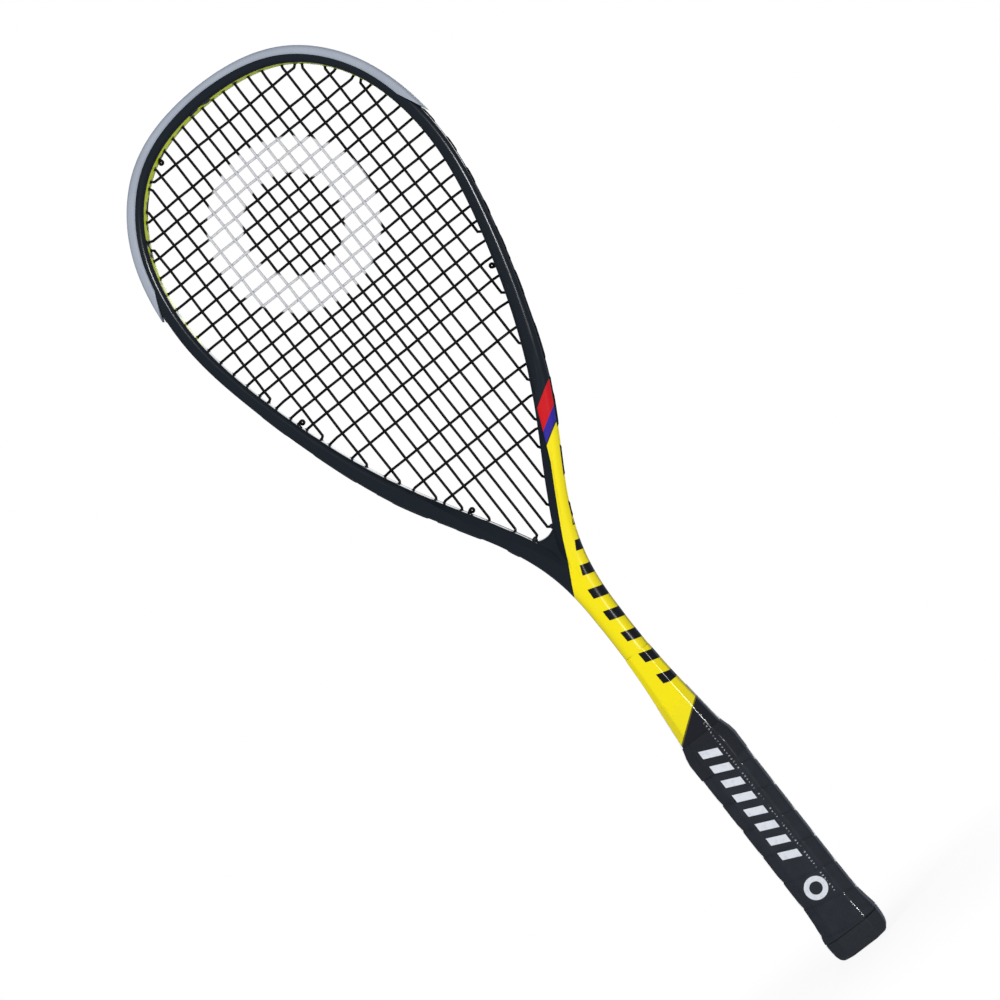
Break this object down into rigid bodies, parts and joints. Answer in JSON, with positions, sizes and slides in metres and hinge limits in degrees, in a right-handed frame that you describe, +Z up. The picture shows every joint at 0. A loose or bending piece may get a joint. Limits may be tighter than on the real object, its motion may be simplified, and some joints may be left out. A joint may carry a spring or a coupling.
{
  "type": "squash racket",
  "caption": "Squash racket with a teardrop head, open throat, woven string bed, slim shaft, bumper over the head's outer edge and a cushioned faceted grip with a flared butt cap.",
  "frame": {"origin": "centre of the butt cap's flat end", "axes": "+Z up the shaft to the tip of the head, +X across the string bed, bed in the XZ plane, its front face towards -Y"},
  "size_m": [0.216, 0.0354, 0.686],
  "materials": {
    "frame_paint": "gloss",
    "bumper_plastic": "satin",
    "grommet_plastic": "satin",
    "string_polymer": "satin",
    "handle_foam": "matte",
    "plug_foam": "matte",
    "cap_rubber": "matte",
    "staple_steel": "bare",
    "grip_cushion": "ribbed, slightly tacky",
    "finishing_tape_vinyl": "satin",
    "film_clear": "clear gloss"
  },
  "bodies": {
    "root": {"frame": "frame_paint", "bumper_guard": "bumper_plastic", "grommet_strip_left": "grommet_plastic", "grommet_strip_right": "grommet_plastic", "throat_grommets_left": "grommet_plastic", "throat_grommets_right": "grommet_plastic", "main_string": "string_polymer", "cross_string": "string_polymer", "shaft_plug": "plug_foam", "handle_mould": "handle_foam", "butt_cap": "cap_rubber", "butt_cap_staples": "staple_steel", "base_grip": "grip_cushion", "finishing_tape": "finishing_tape_vinyl", "grip_film": "film_clear"}
  },
  "joints": []
}
